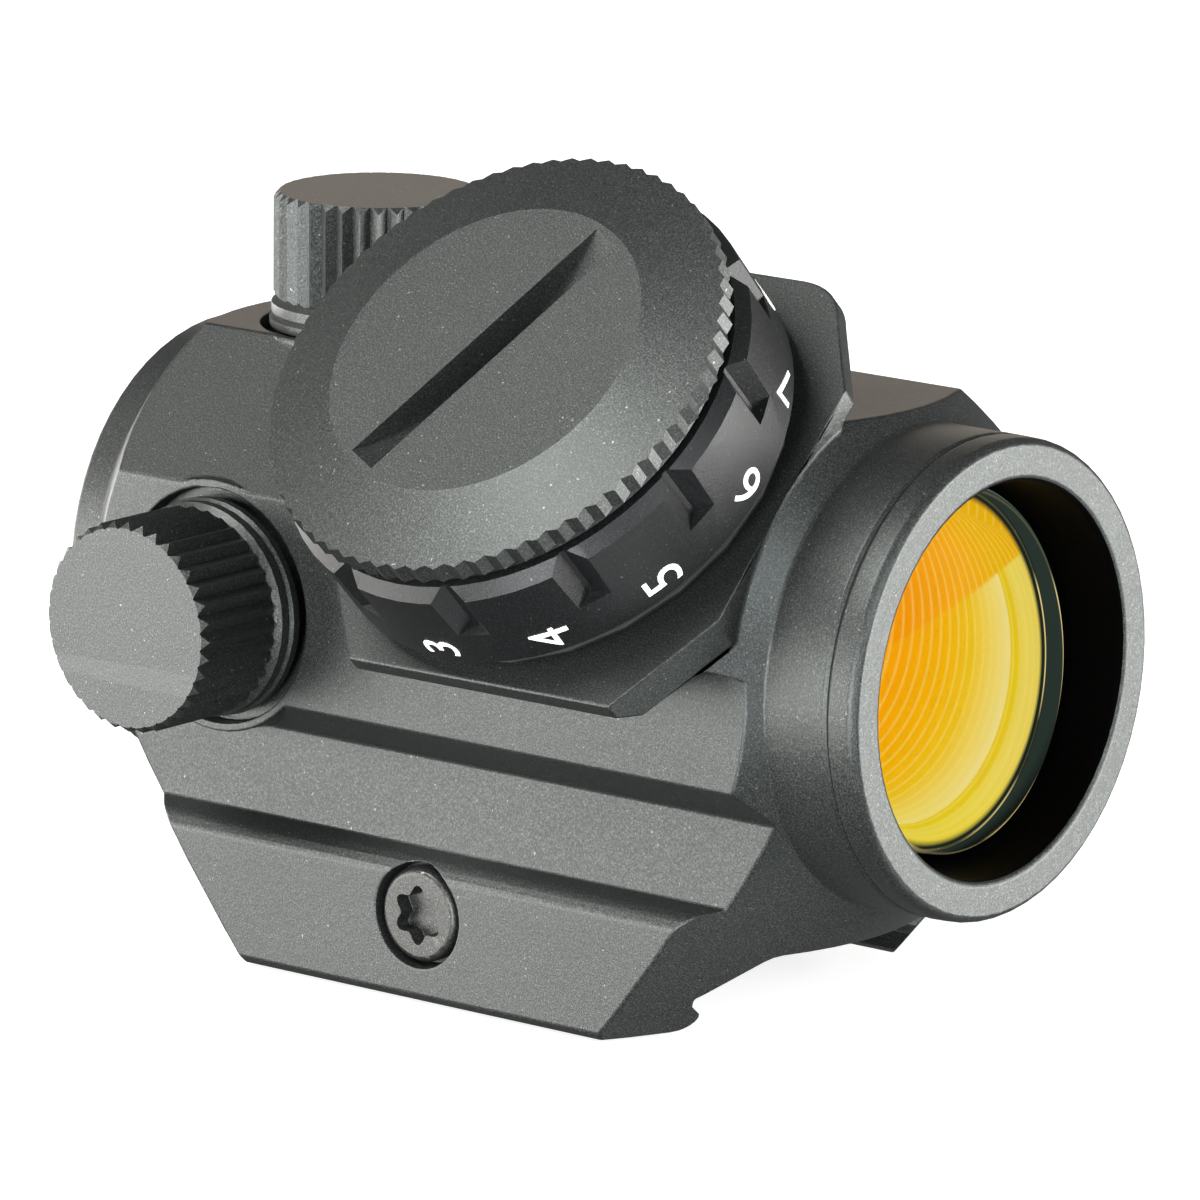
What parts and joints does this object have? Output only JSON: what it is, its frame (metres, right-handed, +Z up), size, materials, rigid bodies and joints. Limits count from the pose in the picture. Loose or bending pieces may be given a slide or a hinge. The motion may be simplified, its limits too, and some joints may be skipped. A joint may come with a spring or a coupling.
{
  "type": "red dot sight",
  "caption": "Compact 1x tube red dot sight with an angled brightness dial, two capped adjusters and a clamp for a dovetail rail.",
  "frame": {"origin": "on the rail-seat plane and the rail's centreline, on the land 11 mm ahead of the cross bolt", "axes": "+Y along the optical axis towards the target, +Z up from the rail, +X to the side of the windage cap"},
  "size_m": [0.0453, 0.062, 0.0523],
  "materials": {
    "body_anodised": "fine-grained matte black anodised aluminium that reads as dark grey",
    "cap_anodised": "matte black anodised aluminium, knurled",
    "dial_black": "semi-matte black anodised aluminium with white printed numbers",
    "inner_black": "flat black anti-glare anodising",
    "screw_steel": "black-oxide steel",
    "spring_steel": "bright spring steel",
    "cell_steel": "nickel-plated coin cell can",
    "brass": "turned brass",
    "seal_rubber": "black nitrile O-ring",
    "board": "green glass-epoxy circuit board",
    "led_red": "clear red light-emitting diode",
    "coated_glass": "lens glass with an amber reflective coating",
    "clear_glass": "clear lens glass with a faint green edge"
  },
  "bodies": {
    "housing": {"main_body": "body_anodised", "objective_front_element": "clear_glass", "objective_rear_element": "coated_glass", "objective_cell": "inner_black", "ocular_lens": "clear_glass", "ocular_retaining_ring": "inner_black", "bias_spring": "spring_steel", "windage_bush": "brass", "elevation_bush": "brass", "switch_board": "board", "dial_screw": "screw_steel", "detent_spring": "spring_steel", "detent_ball": "cell_steel", "dial_seal": "seal_rubber"},
    "pivot_ring": {"pivot_ring": "inner_black"},
    "inner_tube": {"inner_tube": "inner_black", "emitter_block": "inner_black", "emitter_led": "led_red"},
    "brightness_dial": {"brightness_dial": "dial_black", "dial_wiper": "brass", "coin_cell": "cell_steel", "battery_contact": "brass"},
    "battery_cap_seal": {"battery_cap_seal": "seal_rubber"},
    "battery_cap": {"battery_cap": "cap_anodised"},
    "clamp_jaw": {"clamp_jaw": "body_anodised"},
    "clamp_screw": {"clamp_screw": "screw_steel"},
    "windage_adjuster": {"windage_adjuster": "screw_steel"},
    "windage_plunger": {"windage_plunger": "screw_steel"},
    "windage_cap_seal": {"windage_cap_seal": "seal_rubber"},
    "windage_cap": {"windage_cap": "cap_anodised"},
    "elevation_adjuster": {"elevation_adjuster": "screw_steel"},
    "elevation_plunger": {"elevation_plunger": "screw_steel"},
    "elevation_cap_seal": {"elevation_cap_seal": "seal_rubber"},
    "elevation_cap": {"elevation_cap": "cap_anodised"}
  },
  "joints": [
    {"name": "dial_turn", "type": "hinge", "parent": "housing", "child": "brightness_dial", "pos_m": [0, -0.00185, 0.0173], "axis": [0.7071, 0, 0.7071], "range_deg": [-330, 0]},
    {"name": "battery_cap_lift", "type": "slide", "parent": "brightness_dial", "child": "battery_cap_seal", "axis": [0.7071, 0, 0.7071], "range_m": [0, 0.00187]},
    {"name": "battery_cap_turn", "type": "hinge", "parent": "battery_cap_seal", "child": "battery_cap", "pos_m": [0, -0.00185, 0.0173], "axis": [0.7071, 0, 0.7071], "range_deg": [0, 900]},
    {"name": "windage_adjust", "type": "hinge", "parent": "housing", "child": "windage_adjuster", "pos_m": [0, -0.02695, 0.0173], "axis": [1, 0, 0], "range_deg": [-360, 360]},
    {"name": "windage_plunger_slide", "type": "slide", "parent": "housing", "child": "windage_plunger", "axis": [1, 0, 0], "range_m": [-0.00025, 0.00025]},
    {"name": "windage_cap_lift", "type": "slide", "parent": "housing", "child": "windage_cap_seal", "axis": [1, 0, 0], "range_m": [0, 0.003]},
    {"name": "windage_cap_turn", "type": "hinge", "parent": "windage_cap_seal", "child": "windage_cap", "pos_m": [0, -0.02695, 0.0173], "axis": [1, 0, 0], "range_deg": [0, 1440]},
    {"name": "elevation_adjust", "type": "hinge", "parent": "housing", "child": "elevation_adjuster", "pos_m": [0, -0.02695, 0.0173], "axis": [0, 0, 1], "range_deg": [-360, 360]},
    {"name": "elevation_plunger_slide", "type": "slide", "parent": "housing", "child": "elevation_plunger", "axis": [0, 0, 1], "range_m": [-0.00025, 0.00025]},
    {"name": "elevation_cap_lift", "type": "slide", "parent": "housing", "child": "elevation_cap_seal", "axis": [0, 0, 1], "range_m": [0, 0.003]},
    {"name": "elevation_cap_turn", "type": "hinge", "parent": "elevation_cap_seal", "child": "elevation_cap", "pos_m": [0, -0.02695, 0.0173], "axis": [0, 0, 1], "range_deg": [0, 1440]},
    {"name": "windage_tilt", "type": "hinge", "parent": "housing", "child": "pivot_ring", "pos_m": [0, 0.00675, 0.0173], "axis": [0, 0, 1], "range_deg": [-0.4335, 0.4335]},
    {"name": "elevation_tilt", "type": "hinge", "parent": "pivot_ring", "child": "inner_tube", "pos_m": [0, 0.00675, 0.0173], "axis": [1, 0, 0], "range_deg": [-0.4335, 0.4335]},
    {"name": "clamp_screw_turn", "type": "hinge", "parent": "housing", "child": "clamp_screw", "pos_m": [0, -0.011, 0.00025], "axis": [1, 0, 0], "range_deg": [0, 1080]},
    {"name": "clamp_jaw_slide", "type": "slide", "parent": "housing", "child": "clamp_jaw", "axis": [-1, 0, 0], "range_m": [0, 0.0024]}
  ],
  "couplings": [
    {"joint": "battery_cap_turn", "follows": "battery_cap_lift", "rad_per_m": 8377.6},
    {"joint": "windage_adjust", "follows": "windage_plunger_slide", "rad_per_m": 25133},
    {"joint": "windage_cap_turn", "follows": "windage_cap_lift", "rad_per_m": 8377.6},
    {"joint": "elevation_adjust", "follows": "elevation_plunger_slide", "rad_per_m": 25133},
    {"joint": "elevation_cap_turn", "follows": "elevation_cap_lift", "rad_per_m": 8377.6},
    {"joint": "windage_tilt", "follows": "windage_plunger_slide", "rad_per_m": 29.674},
    {"joint": "elevation_tilt", "follows": "elevation_plunger_slide", "rad_per_m": -29.674},
    {"joint": "clamp_screw_turn", "follows": "clamp_jaw_slide", "rad_per_m": 7854}
  ]
}
